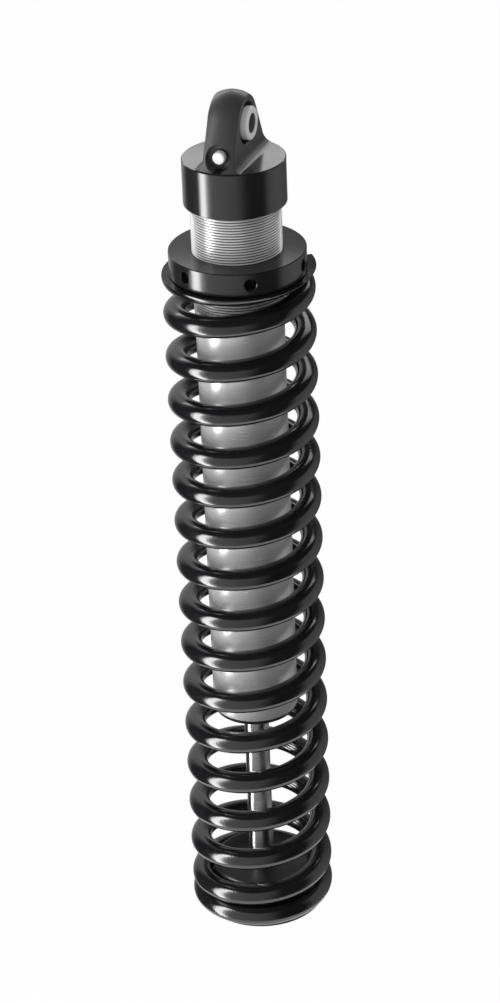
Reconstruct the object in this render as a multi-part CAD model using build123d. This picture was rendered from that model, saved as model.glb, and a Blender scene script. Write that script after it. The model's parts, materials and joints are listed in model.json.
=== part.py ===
from build123d import *
import math
import os

# Coil-over rear shock absorber, mm. Origin: centre of the upper eye's bolt bore.
# +Z runs up the damper axis, +X runs along the bolt bores, -Y faces the gas port.

# ---- fits and clearances -------------------------------------------------
running = 0.06        # radial clearance of parts that slide or turn in each other
close = 0.02          # radial clearance of parts that are screwed or pressed home
thread_running = 0.08  # collar bore over the thread crests
loose = 0.35          # radial air between a moving part and one it must not touch
overrun = 1.0         # how far a cutter runs past the face that it opens

# ---- bolt bores and spherical bearings (the same at both ends) -----------
bolt_bore = 10.0
spacer_dia = 17.6
spacer_span = 22.0    # outside to outside, the width that the bike's clevis clamps
spacer_chamfer = 0.5
spacer_cone = 2.5     # length of the taper that lets the eye tilt
spacer_joint = 0.2    # air where the two spacers meet inside the ball
ball_dia = 18.0
ball_width = 10.0
ball_bore = 12.0
race_dia = 22.0
race_width = 7.0
snap_ring_thick = 1.1
snap_ring_inner_dia = 19.2
snap_ring_groove_depth = 0.7
snap_ring_gap_deg = 34.0
eye_width = 16.6      # across the milled flats

# ---- upper eye cap -------------------------------------------------------
eye_dome_radius = 16.6
eye_height = 19.0     # bore centre above the cap's shoulder
eye_root_radius = 5.3  # corner radius of the milled flats
cap_dia = 54.4
cap_height = 24.7
edge_break = 0.4
bore_lead_in = 0.5
cap_thread_length = 16.0
spigot_shortfall = 2.0
flat_edge_radius = 0.5  # rounding where the milled flats leave the turned form
port_height = 7.0     # gas port above the cap's shoulder
port_recess_dia = 13.8
port_corner_radius = 2.4  # between the recess's wall and floor
port_depth = 9.2      # recess floor inside the cap's cylinder
plug_dia = 6.6
plug_proud = 4.4
plug_chamfer = 0.5
plug_shank_dia = 5.0
plug_shank_length = 4.5
plug_seal_thick = 0.8
plug_seal_margin = 0.5  # seal outside the plug's head
gas_passage_dia = 3.0
gas_passage_inset = 6.0  # axis of the drilling behind the recess floor

# ---- damper body ---------------------------------------------------------
thread_dia = 48.0     # M48 x 1.5, right hand
thread_length = 76.3
tube_dia = 47.3
tube_bore = 40.0
tube_exposed = 306.3  # from the cap's lower edge to the end of the damper
end_cap_thick = 2.5
end_cap_dia = 46.2
end_cap_spigot = 3.0
end_cap_skirt_wall = 3.0
end_cap_edge_radius = 1.2
clip_wire = 1.6
clip_groove_depth = 0.9
clip_gap = 4.8
clip_drop = 0.8       # clip below the seal head's end face
seal_head_length = 30.0
wiper_dia = 22.0
wiper_thick = 5.0
wiper_base_lip = 0.8
seal_land = 1.5       # metal between the wiper's pocket and the seal's
rod_seal_dia = 24.0
rod_seal_thick = 6.0
rod_seal_heel = 0.6   # chamfer and back-off of the seal's lip
rod_seal_wall = 1.6
rod_seal_cup = 2.5
lip_wall = 1.2
lip_depth = 1.5
bush_wall = 1.5
bush_length = 15.0
bumper_dia = 30.0
bumper_length = 8.0
bumper_bulge = 1.5
o_ring_section = 2.6
o_ring_squeeze = 0.4
o_ring_groove_ratio = 1.3  # groove width over the seal's section

# ---- floating piston -----------------------------------------------------
floating_piston_length = 16.0
floating_piston_floor = 6.0
floating_piston_wall = 5.5
floating_piston_drop = 126.0  # its gas side below the cap's spigot roof at full extension
floating_band_rise = 2.5      # band groove above the piston's oil face
floating_seal_rise = 9.0      # seal groove above the piston's oil face
band_height = 2.5
band_depth = 1.5

# ---- rod and piston ------------------------------------------------------
rod_dia = 14.0
rod_stud_dia = 10.0   # thread that carries the piston
rod_foot_dia = 12.0   # thread that carries the lower eye
rod_foot_length = 12.0
rod_foot_relief = 0.5  # tapped hole below the end of the rod's foot
rod_end_chamfer = 1.0
stud_proud = 1.5
washer_thick = 2.5
base_washer_dia = 26.0
top_washer_dia = 18.0
shim_thick = 0.4
shim_dias = (31.0, 27.0, 23.0, 19.0)  # from the piston face outwards
piston_thick = 14.0
piston_land_gap = 0.4
piston_band_height = 9.0
port_circle_dia = 24.0
port_dia = 5.0
port_count = 6
nut_across_flats = 17.0
nut_height = 8.0
nut_chamfer = 1.0

# ---- spring, its collar and its seats ------------------------------------
thread_above_collar = 26.0
collar_dia = 72.8
collar_height = 12.8
spanner_hole_dia = 6.4
spanner_hole_depth = 9.0
spanner_hole_count = 6
spanner_hole_lead_in = 0.5
perch_flange_dia = 70.0
perch_flange_thick = 2.1
perch_proud = 0.3     # how far the perch stands out of the collar's recess
perch_spigot = 4.5
wire_dia = 12.0
spring_mean_dia = 69.0
spring_length = 392.4  # between the ground faces
spring_turns = 16.62
end_lead = 4.0        # rise per turn at the very tips
top_ramp_turns = 1.3  # turns over which the top end opens to the full pitch
bottom_ramp_turns = 1.66
top_tip_thick = 2.4   # wire left at the tips after grinding
bottom_tip_thick = 8.1
top_tip_angle = 45.5  # degrees from +X
middle_rise = 3.3     # how far the middle coils stand above an even pitch
rise_turns = (4.0, 6.0)   # turns from the top tip over which they close up
fall_turns = (8.5, 14.0)  # and over which the pitch makes up for it
guide_gap = 0.3       # radial air between the seats' spigots and the coils
seat_flange_dia = 71.0
seat_flange_thick = 4.0
seat_hub_height = 20.8
seat_plate_thick = 6.0
seat_hub_wall = 4.2
seat_edge_radius = 2.0
seat_roof_chamfer = 2.0

# ---- lower eye -----------------------------------------------------------
lower_eye_radius = 13.0
lower_eye_height = 26.1  # bore centre below the face that carries the spring seat
lower_flat_drop = 7.5    # start of the milled flats below that face
lower_root_radius = 3.0

# ---- levels along the damper, from the top down --------------------------
shoulder_z = -eye_height
cap_bottom_z = shoulder_z - cap_height
tube_top_z = cap_bottom_z + cap_thread_length
spigot_end_z = cap_bottom_z + spigot_shortfall
tube_end_z = cap_bottom_z - tube_exposed
thread_end_z = tube_top_z - thread_length
port_z = shoulder_z + port_height
port_floor_y = cap_dia / 2 - port_depth
gas_passage_y = port_floor_y - gas_passage_inset
collar_top_z = cap_bottom_z - thread_above_collar
collar_bottom_z = collar_top_z - collar_height
spring_top_z = collar_bottom_z - perch_proud
spring_bottom_z = spring_top_z - spring_length
seat_top_z = spring_bottom_z + seat_hub_height
rod_shoulder_z = seat_top_z - seat_plate_thick
lower_eye_z = rod_shoulder_z - lower_eye_height

end_cap_top_z = tube_end_z + end_cap_thick
tube_cut_z = end_cap_top_z
clip_low_z = end_cap_top_z + end_cap_spigot + clip_drop
seal_head_low_z = clip_low_z + clip_wire
seal_head_top_z = seal_head_low_z + seal_head_length
piston_shoulder_z = seal_head_top_z + bumper_length
shim_stack = shim_thick * len(shim_dias)
piston_low_z = piston_shoulder_z + washer_thick + shim_stack
piston_top_z = piston_low_z + piston_thick
nut_low_z = piston_top_z + shim_stack + washer_thick
stud_top_z = nut_low_z + nut_height + stud_proud
cap_groove_z = (tube_top_z + spigot_end_z) / 2
seal_low_z = seal_head_low_z + wiper_thick + seal_land
head_groove_z = seal_head_low_z + seal_head_length / 2
floating_top_z = spigot_end_z - floating_piston_drop
floating_low_z = floating_top_z - floating_piston_length
floating_band_z = floating_low_z + floating_band_rise
floating_seal_z = floating_low_z + floating_seal_rise + o_ring_groove_ratio * o_ring_section / 2

# ---- radii that several pieces share -------------------------------------
cap_radius = cap_dia / 2
bore_radius = tube_bore / 2
rod_radius = rod_dia / 2
wire_radius = wire_dia / 2
spring_inner_radius = spring_mean_dia / 2 - wire_radius
guide_radius = spring_inner_radius - guide_gap
housing_radius = race_dia / 2 + close
stud_hole_radius = rod_stud_dia / 2 + close
bush_radius = rod_radius + running + bush_wall
seal_section = o_ring_section - o_ring_squeeze - close


def turned(points):
    """A solid of revolution about Z from (radius, z) corners."""
    outline = Polyline(*[(r, 0, z) for r, z in points], close=True)
    return revolve(make_face(outline), Axis.Z)


def ring(outer, inner, low, high):
    return turned([(inner, low), (outer, low), (outer, high), (inner, high)])


def disc(radius, low, high):
    return turned([(0, low), (radius, low), (radius, high), (0, high)])


def about_x(points, centre_z):
    """A solid of revolution about the bolt axis from (x, radius) corners."""
    outline = Polyline(*[(x, 0, r) for x, r in points], close=True)
    return Pos(0, 0, centre_z) * revolve(make_face(outline), Axis.X)


def x_ring(outer, inner, low, high, centre_z):
    return about_x([(low, inner), (low, outer), (high, outer), (high, inner)], centre_z)


def y_cylinder(radius, near, far, z):
    """A cylinder along Y on the damper's centre plane, from y = near to y = far."""
    return Pos(0, (near + far) / 2, z) * Rot(90, 0, 0) * Cylinder(radius, abs(far - near))


def o_ring(outer, section, z):
    """A round-section seal whose outside lies at the given radius."""
    centre = outer - section / 2
    face = Plane.XZ * Pos(centre, z) * Circle(section / 2)
    return revolve(face, Axis.Z)


def seal_groove(face, middle):
    """What is turned out of a cylinder of radius face for an O-ring at height middle."""
    half = o_ring_groove_ratio * o_ring_section / 2
    floor = face - o_ring_section + o_ring_squeeze
    return ring(face + overrun, floor, middle - half, middle + half)


def group(solids):
    return Compound(children=[Solid(s.solid().wrapped) for s in solids])


# ---- bearings ------------------------------------------------------------
def bearing_housing(centre_z):
    """What is bored out of an eye for its race and snap rings."""
    half = eye_width / 2
    groove_low = race_width / 2
    groove_high = groove_low + snap_ring_thick + 2 * close
    groove = housing_radius + snap_ring_groove_depth
    mouth = housing_radius + bore_lead_in
    reach = half + eye_dome_radius
    side = [(0, 0), (0, housing_radius), (groove_low, housing_radius), (groove_low, groove),
            (groove_high, groove), (groove_high, housing_radius),
            (half - bore_lead_in, housing_radius), (half, mouth), (reach, mouth), (reach, 0)]
    right = about_x(side, centre_z)
    return right + mirror(right, Plane.YZ)


def bearing_race(centre_z):
    blank = x_ring(race_dia / 2, ball_bore / 2, -race_width / 2, race_width / 2, centre_z)
    return blank - Pos(0, 0, centre_z) * Sphere(ball_dia / 2 + running)


def bearing_ball(centre_z):
    hole = x_ring(ball_bore / 2, 0, -ball_width, ball_width, centre_z)
    slab = Pos(0, 0, centre_z) * Box(ball_width, ball_dia, ball_dia)
    return (Pos(0, 0, centre_z) * Sphere(ball_dia / 2) & slab) - hole


def spacer(centre_z):
    bore = bolt_bore / 2
    stub = ball_bore / 2 - close
    neck = math.sqrt((ball_dia / 2) ** 2 - (ball_width / 2) ** 2) - spacer_joint
    head = spacer_dia / 2
    ball_face = ball_width / 2
    end = spacer_span / 2
    return about_x([(spacer_joint / 2, bore), (spacer_joint / 2, stub), (ball_face, stub),
                    (ball_face, neck), (ball_face + spacer_cone, head),
                    (end - spacer_chamfer, head), (end, head - spacer_chamfer),
                    (end, bore + spacer_chamfer), (end - spacer_chamfer, bore)], centre_z)


def snap_ring(centre_z, opening):
    """An open ring; opening is +1 for a gap at the top of the eye, -1 for one at the bottom."""
    low = race_width / 2 + close
    outer = housing_radius + snap_ring_groove_depth - close
    whole = x_ring(outer, snap_ring_inner_dia / 2, low, low + snap_ring_thick, centre_z)
    width = 2 * outer * math.sin(math.radians(snap_ring_gap_deg / 2))
    gap = Pos(low, 0, centre_z + opening * outer) * Box(4 * snap_ring_thick, width, outer)
    return whole - gap


def pair(piece):
    return group([piece, mirror(piece, Plane.YZ)])


# ---- upper eye cap -------------------------------------------------------
def cap_blank():
    """Cap and eye as turned: a dome, a cone tangent to it, and the cap's cylinder."""
    rim = cap_radius - edge_break
    distance = math.hypot(rim, eye_height)
    flank = math.atan2(-eye_height, rim) + math.acos(eye_dome_radius / distance)
    middle = (math.pi / 2 + flank) / 2
    on_dome = lambda a: (eye_dome_radius * math.cos(a), 0, eye_dome_radius * math.sin(a))
    dome = ThreePointArc((0, 0, eye_dome_radius), on_dome(middle), on_dome(flank))
    rest = Polyline(on_dome(flank), (rim, 0, shoulder_z),
                    (cap_radius, 0, shoulder_z - edge_break),
                    (cap_radius, 0, cap_bottom_z + edge_break),
                    (cap_radius - edge_break, 0, cap_bottom_z), (0, 0, cap_bottom_z),
                    (0, 0, eye_dome_radius))
    return revolve(make_face([dome, rest]), Axis.Z)


def milled_flat(flat_x, foot_z, root, reach, rise):
    """What a corner-radius cutter removes beside an eye, above foot_z."""
    corner_z = foot_z + math.copysign(root, rise)
    sagitta = root * (1 - math.sqrt(0.5))
    arc = ThreePointArc((flat_x, 0, corner_z),
                        (flat_x + sagitta, 0, foot_z + math.copysign(sagitta, rise)),
                        (flat_x + root, 0, foot_z))
    rest = Polyline((flat_x + root, 0, foot_z), (reach, 0, foot_z),
                    (reach, 0, foot_z + rise), (flat_x, 0, foot_z + rise),
                    (flat_x, 0, corner_z))
    cut = extrude(make_face([arc, rest]), amount=reach, dir=(0, 1, 0), both=True)
    return cut + mirror(cut, Plane.YZ)


def cap_socket():
    """The ring-shaped socket for the tube round the cap's sealing spigot."""
    spigot = bore_radius - close
    socket = ring(thread_dia / 2 + close, spigot, cap_bottom_z - overrun, tube_top_z)
    shorten = disc(spigot + overrun, cap_bottom_z - overrun, spigot_end_z)
    return socket + shorten


def gas_port():
    recess = y_cylinder(port_recess_dia / 2, -cap_radius - overrun, -port_floor_y, port_z)
    floor_edge = recess.edges().filter_by(GeomType.CIRCLE).sort_by(Axis.Y)[-1]
    recess = fillet(floor_edge, port_corner_radius)
    shank = y_cylinder(plug_shank_dia / 2 + close, -port_floor_y - overrun, -gas_passage_y,
                       port_z)
    depth = port_z - spigot_end_z + overrun
    down = Pos(0, -gas_passage_y, port_z - depth / 2) * Cylinder(gas_passage_dia / 2, depth)
    return recess + shank + down


def ease_flats(eye):
    """Round the edges where the milled flats meet the turned form."""
    def borders_flat(edge):
        box = edge.bounding_box()
        in_flat = box.size.X < close and abs(abs(box.max.X) - eye_width / 2) < close
        return in_flat and edge.geom_type != GeomType.LINE

    return fillet(eye.edges().filter_by(borders_flat), flat_edge_radius)


def eye_cap():
    flats = milled_flat(eye_width / 2, shoulder_z, eye_root_radius, cap_dia, cap_dia)
    return (ease_flats(cap_blank() - flats) - bearing_housing(0) - cap_socket()
            - seal_groove(bore_radius, cap_groove_z) - gas_port())


def gas_plug():
    face = -port_floor_y - plug_proud
    head = y_cylinder(plug_dia / 2, face, -port_floor_y - plug_seal_thick, port_z)
    rim = head.edges().filter_by(GeomType.CIRCLE).sort_by(Axis.Y)[0]
    head = chamfer(rim, plug_chamfer)
    shank = y_cylinder(plug_shank_dia / 2, -port_floor_y - plug_seal_thick,
                       -port_floor_y + plug_shank_length, port_z)
    return head + shank


def gas_plug_seal():
    seal = y_cylinder(plug_dia / 2 + plug_seal_margin, -port_floor_y - plug_seal_thick,
                      -port_floor_y, port_z)
    hole = y_cylinder(plug_shank_dia / 2 + close, -port_floor_y - plug_seal_thick - overrun,
                      -port_floor_y + overrun, port_z)
    return seal - hole


# ---- damper body ---------------------------------------------------------
def body_tube():
    smooth = tube_dia / 2
    crest = thread_dia / 2
    run_out = crest - smooth
    outside = turned([(0, tube_cut_z), (smooth, tube_cut_z), (smooth, thread_end_z - run_out),
                      (crest, thread_end_z), (crest, tube_top_z - edge_break),
                      (crest - edge_break, tube_top_z), (0, tube_top_z)])
    inside = disc(bore_radius, tube_cut_z - overrun, tube_top_z + overrun)
    groove = ring(bore_radius + clip_groove_depth, bore_radius - overrun, clip_low_z,
                  clip_low_z + clip_wire)
    return outside - inside - groove


def end_cap():
    plate = ring(end_cap_dia / 2, rod_radius + loose, tube_end_z, end_cap_top_z)
    lower_edges = plate.edges().filter_by(GeomType.CIRCLE).group_by(Axis.Z)[0]
    rim = lower_edges.sort_by(SortBy.RADIUS)[-1]
    plate = fillet(rim, end_cap_edge_radius)
    skirt = ring(bore_radius - close, bore_radius - end_cap_skirt_wall, end_cap_top_z,
                 end_cap_top_z + end_cap_spigot)
    return plate + skirt


def seal_head_clip():
    outer = bore_radius + clip_groove_depth - close
    whole = ring(outer, bore_radius - clip_wire, clip_low_z + close,
                 clip_low_z + clip_wire - close)
    gap = Pos(outer, 0, clip_low_z) * Box(outer, clip_gap, 4 * clip_wire)
    return whole - gap


def seal_head():
    """Guide, oil seal and wiper carrier that closes the lower end of the tube."""
    blank = turned([(0, seal_head_low_z), (bore_radius - close, seal_head_low_z),
                    (bore_radius - close, seal_head_top_z - edge_break),
                    (bore_radius - close - edge_break, seal_head_top_z), (0, seal_head_top_z)])
    rod_hole = disc(rod_radius + loose, seal_head_low_z - overrun, seal_head_top_z + overrun)
    wiper_pocket = disc(wiper_dia / 2 + close, seal_head_low_z - overrun,
                        seal_head_low_z + wiper_thick)
    seal_pocket = disc(rod_seal_dia / 2 + close, seal_low_z, seal_low_z + rod_seal_thick)
    bush_pocket = disc(bush_radius + close, seal_head_top_z - bush_length,
                       seal_head_top_z + overrun)
    groove = seal_groove(bore_radius, head_groove_z)
    return blank - rod_hole - wiper_pocket - seal_pocket - bush_pocket - groove


def rod_wiper():
    """Wiper with a lip that leans on the rod at the outside."""
    lip = rod_radius + running
    high = seal_head_low_z + wiper_thick
    return turned([(wiper_dia / 2, seal_head_low_z), (wiper_dia / 2, high),
                   (lip + lip_wall, high), (lip + lip_wall, high - lip_depth),
                   (lip, seal_head_low_z), (lip + wiper_base_lip, seal_head_low_z)])


def rod_seal():
    lip = rod_radius + running
    low = seal_low_z
    high = low + rod_seal_thick
    return turned([(rod_seal_dia / 2, low), (rod_seal_dia / 2, high),
                   (lip + rod_seal_wall, high), (lip + rod_seal_wall, high - rod_seal_cup),
                   (lip + lip_wall, high - rod_seal_heel), (lip, high - rod_seal_heel),
                   (lip, low + rod_seal_heel), (lip + rod_seal_heel, low)])


def rod_guide_bush():
    return ring(bush_radius, rod_radius + running, seal_head_top_z - bush_length,
                seal_head_top_z)


def topout_bumper():
    """Elastomer ring on the seal head that the piston meets at full extension."""
    inner = rod_radius + loose
    outer = bumper_dia / 2
    low = seal_head_top_z
    high = low + bumper_length
    return turned([(inner, low), (outer - bumper_bulge, low), (outer, low + bumper_length / 2),
                   (outer - bumper_bulge, high), (inner, high)])


# ---- floating piston -----------------------------------------------------
def floating_piston():
    radius = bore_radius - running
    blank = disc(radius, floating_low_z, floating_top_z)
    cup = disc(radius - floating_piston_wall, floating_low_z + floating_piston_floor,
               floating_top_z + overrun)
    band = ring(radius + overrun, radius - band_depth, floating_band_z,
                floating_band_z + band_height)
    return blank - cup - band - seal_groove(radius, floating_seal_z)


def floating_piston_band():
    radius = bore_radius - running
    return ring(radius, radius - band_depth + close, floating_band_z + close,
                floating_band_z + band_height - close)


def floating_piston_seal():
    return o_ring(bore_radius - running, seal_section, floating_seal_z)


# ---- rod and piston ------------------------------------------------------
def piston_rod():
    stud = rod_stud_dia / 2
    foot = rod_foot_dia / 2
    foot_z = rod_shoulder_z - rod_foot_length
    return turned([(0, foot_z), (foot - rod_end_chamfer, foot_z),
                   (foot, foot_z + rod_end_chamfer), (foot, rod_shoulder_z),
                   (rod_radius, rod_shoulder_z), (rod_radius, piston_shoulder_z),
                   (stud, piston_shoulder_z), (stud, stud_top_z - rod_end_chamfer),
                   (stud - rod_end_chamfer, stud_top_z), (0, stud_top_z)])


def backing_washers():
    base = ring(base_washer_dia / 2, stud_hole_radius, piston_shoulder_z,
                piston_shoulder_z + washer_thick)
    top = ring(top_washer_dia / 2, stud_hole_radius, nut_low_z - washer_thick, nut_low_z)
    return group([base, top])


def shim_pile(face_z, step):
    """Shims from a piston face outwards; step is +1 above the piston and -1 below it."""
    shims = []
    for i, dia in enumerate(shim_dias):
        ends = sorted([face_z + step * i * shim_thick, face_z + step * (i + 1) * shim_thick])
        shims.append(ring(dia / 2, stud_hole_radius, *ends))
    return group(shims)


def piston():
    radius = bore_radius - piston_land_gap
    band_low = (piston_low_z + piston_top_z - piston_band_height) / 2
    blank = ring(radius, stud_hole_radius, piston_low_z, piston_top_z)
    groove = ring(radius + overrun, radius - band_depth, band_low,
                  band_low + piston_band_height)
    body = blank - groove
    for i in range(port_count):
        port = Pos(port_circle_dia / 2, 0, (piston_low_z + piston_top_z) / 2) * Cylinder(
            port_dia / 2, piston_thick + 2 * overrun)
        body -= Rot(0, 0, i * 360 / port_count) * port
    return body


def piston_band():
    band_low = (piston_low_z + piston_top_z - piston_band_height) / 2
    inner = bore_radius - piston_land_gap - band_depth + close
    return ring(bore_radius - running, inner, band_low + close,
                band_low + piston_band_height - close)


def piston_nut():
    hexagon = RegularPolygon(nut_across_flats / 2, 6, major_radius=False)
    blank = Pos(0, 0, nut_low_z) * extrude(hexagon, nut_height)
    corner = nut_across_flats / math.sqrt(3)
    top = nut_low_z + nut_height
    cone = turned([(0, nut_low_z), (corner, nut_low_z), (corner, top - nut_chamfer),
                   (nut_across_flats / 2, top), (0, top)])
    return (blank & cone) - disc(stud_hole_radius, nut_low_z - overrun, top + overrun)


# ---- spring and its seats ------------------------------------------------
def eased(turn, start, end):
    """0 up to the start, 1 from the end on, and a smooth step between them."""
    part = min(1, max(0, (turn - start) / (end - start)))
    return part * part * (3 - 2 * part)


def even_drop(turn, pitch):
    """How far the wire's centre comes down from the top tip where the pitch is even."""
    def ramp(n, length):
        return end_lead * n + (pitch - end_lead) * n * n / (2 * length)

    left = spring_turns - turn
    if turn < top_ramp_turns:
        return ramp(turn, top_ramp_turns)
    if left < bottom_ramp_turns:
        return wire_height() - ramp(left, bottom_ramp_turns)
    return ramp(top_ramp_turns, top_ramp_turns) + pitch * (turn - top_ramp_turns)


def spring_drop(turn, pitch):
    """The same with the middle coils drawn a little closer to the top."""
    rise = middle_rise * eased(turn, *rise_turns) * (1 - eased(turn, *fall_turns))
    return even_drop(turn, pitch) - rise


def wire_height():
    """Height between the wire's centres at the two tips."""
    return (spring_length + (wire_radius - top_tip_thick) + (wire_radius - bottom_tip_thick))


def spring_pitch():
    ramps = (top_ramp_turns + bottom_ramp_turns) / 2
    return (wire_height() - end_lead * ramps) / (spring_turns - ramps)


def coil_spring():
    """Right-hand spring with closed ends, ground flat on its two seats."""
    pitch = spring_pitch()
    top_centre_z = spring_top_z + wire_radius - top_tip_thick
    radius = spring_mean_dia / 2
    steps_per_turn = 12
    steps = math.ceil(spring_turns * steps_per_turn)
    points = []
    for i in range(steps + 1):
        turn = spring_turns * i / steps
        angle = math.radians(top_tip_angle) - 2 * math.pi * turn
        points.append((radius * math.cos(angle), radius * math.sin(angle),
                       top_centre_z - spring_drop(turn, pitch)))
    path = Spline(*points)
    section = Plane(origin=path @ 0, z_dir=path % 0) * Circle(wire_radius)
    wire = sweep(section, path=path, is_frenet=True)
    between = Pos(0, 0, (spring_top_z + spring_bottom_z) / 2) * Box(
        2 * spring_mean_dia, 2 * spring_mean_dia, spring_length)
    return wire & between


def preload_collar():
    outer = collar_dia / 2
    body = turned([(thread_dia / 2 + thread_running, collar_bottom_z),
                   (outer - edge_break, collar_bottom_z), (outer, collar_bottom_z + edge_break),
                   (outer, collar_top_z - edge_break), (outer - edge_break, collar_top_z),
                   (thread_dia / 2 + thread_running + edge_break, collar_top_z),
                   (thread_dia / 2 + thread_running, collar_top_z - edge_break)])
    recess_depth = perch_flange_thick - perch_proud
    recess = disc(perch_flange_dia / 2 + running, collar_bottom_z - overrun,
                  collar_bottom_z + recess_depth)
    body -= recess
    middle_z = (collar_top_z + collar_bottom_z) / 2
    for i in range(spanner_hole_count):
        centre_x = outer + (overrun - spanner_hole_depth) / 2
        hole = Pos(centre_x, 0, middle_z) * Rot(0, 90, 0) * Cylinder(
            spanner_hole_dia / 2, spanner_hole_depth + overrun)
        flared = spanner_hole_lead_in + overrun
        mouth = Pos(outer + overrun - flared / 2, 0, middle_z) * Rot(0, 90, 0) * Cone(
            spanner_hole_dia / 2, spanner_hole_dia / 2 + flared, flared)
        body -= Rot(0, 0, i * 360 / spanner_hole_count) * (hole + mouth)
    return body


def spring_perch():
    """Flat ring between the turning collar and the spring, with a spigot inside the coils."""
    inner = thread_dia / 2 + loose
    top = spring_top_z + perch_flange_thick
    lead_in = min(edge_break, (guide_radius - inner) / 2)
    return turned([(inner, spring_top_z - perch_spigot),
                   (guide_radius - lead_in, spring_top_z - perch_spigot),
                   (guide_radius, spring_top_z - perch_spigot + lead_in),
                   (guide_radius, spring_top_z), (perch_flange_dia / 2, spring_top_z),
                   (perch_flange_dia / 2, top), (inner, top)])


def lower_spring_seat():
    """Top-hat seat: the flange carries the spring, the open hub leaves room for the clevis."""
    hub = guide_radius
    flange = seat_flange_dia / 2
    low = spring_bottom_z - seat_flange_thick
    cavity = hub - seat_hub_wall
    blank = turned([(0, low), (flange - edge_break, low), (flange, low + edge_break),
                    (flange, spring_bottom_z), (hub, spring_bottom_z), (hub, seat_top_z),
                    (0, seat_top_z)])
    top_edge = blank.edges().filter_by(GeomType.CIRCLE).group_by(Axis.Z)[-1]
    blank = fillet(top_edge, seat_edge_radius)
    hollow = turned([(0, low - overrun), (cavity, low - overrun),
                     (cavity, rod_shoulder_z - seat_roof_chamfer),
                     (cavity - seat_roof_chamfer, rod_shoulder_z), (0, rod_shoulder_z)])
    rod_hole = disc(rod_radius + running, rod_shoulder_z - overrun, seat_top_z + overrun)
    return blank - hollow - rod_hole


# ---- lower eye -----------------------------------------------------------
def lower_eye():
    """Turned stem with a round end, milled flats and a thread for the rod."""
    radius = lower_eye_radius
    arc = ThreePointArc((radius, 0, lower_eye_z),
                        (radius * math.sqrt(0.5), 0, lower_eye_z - radius * math.sqrt(0.5)),
                        (0, 0, lower_eye_z - radius))
    rest = Polyline((0, 0, lower_eye_z - radius), (0, 0, rod_shoulder_z),
                    (radius - edge_break, 0, rod_shoulder_z),
                    (radius, 0, rod_shoulder_z - edge_break), (radius, 0, lower_eye_z))
    blank = revolve(make_face([arc, rest]), Axis.Z)
    reach = 3 * radius
    flats = milled_flat(eye_width / 2, rod_shoulder_z - lower_flat_drop, lower_root_radius,
                        reach, -reach)
    thread = disc(rod_foot_dia / 2 + close, rod_shoulder_z - rod_foot_length - rod_foot_relief,
                  rod_shoulder_z + overrun)
    return ease_flats(blank - flats) - bearing_housing(lower_eye_z) - thread


def build():
    """Every node of the shock by name."""
    return {
        "eye_cap": eye_cap(),
        "cap_o_ring": o_ring(bore_radius, seal_section, cap_groove_z),
        "gas_port_plug": gas_plug(),
        "gas_port_seal": gas_plug_seal(),
        "upper_bearing_race": bearing_race(0),
        "upper_snap_rings": pair(snap_ring(0, -1)),
        "upper_bearing_ball": bearing_ball(0),
        "upper_spacers": pair(spacer(0)),
        "body_tube": body_tube(),
        "end_cap": end_cap(),
        "seal_head": seal_head(),
        "seal_head_clip": seal_head_clip(),
        "seal_head_o_ring": o_ring(bore_radius, seal_section, head_groove_z),
        "rod_guide_bush": rod_guide_bush(),
        "rod_seal": rod_seal(),
        "rod_wiper": rod_wiper(),
        "topout_bumper": topout_bumper(),
        "floating_piston": floating_piston(),
        "floating_piston_band": floating_piston_band(),
        "floating_piston_seal": floating_piston_seal(),
        "piston_rod": piston_rod(),
        "backing_washers": backing_washers(),
        "compression_shims": shim_pile(piston_low_z, -1),
        "piston": piston(),
        "piston_band": piston_band(),
        "rebound_shims": shim_pile(piston_top_z, 1),
        "piston_nut": piston_nut(),
        "preload_collar": preload_collar(),
        "spring_perch": spring_perch(),
        "coil_spring": coil_spring(),
        "lower_spring_seat": lower_spring_seat(),
        "lower_eye": lower_eye(),
        "lower_bearing_race": bearing_race(lower_eye_z),
        "lower_snap_rings": pair(snap_ring(lower_eye_z, 1)),
        "lower_bearing_ball": bearing_ball(lower_eye_z),
        "lower_spacers": pair(spacer(lower_eye_z)),
    }


os.makedirs("parts", exist_ok=True)
for name, shape in build().items():
    export_step(shape, f"parts/{name}.step")
print(f"eye to eye {-lower_eye_z:.1f} mm, coil pitch {spring_pitch():.2f} mm")
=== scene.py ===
import json
import math

import bmesh
import bpy
from mathutils import Matrix, Vector


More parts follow.
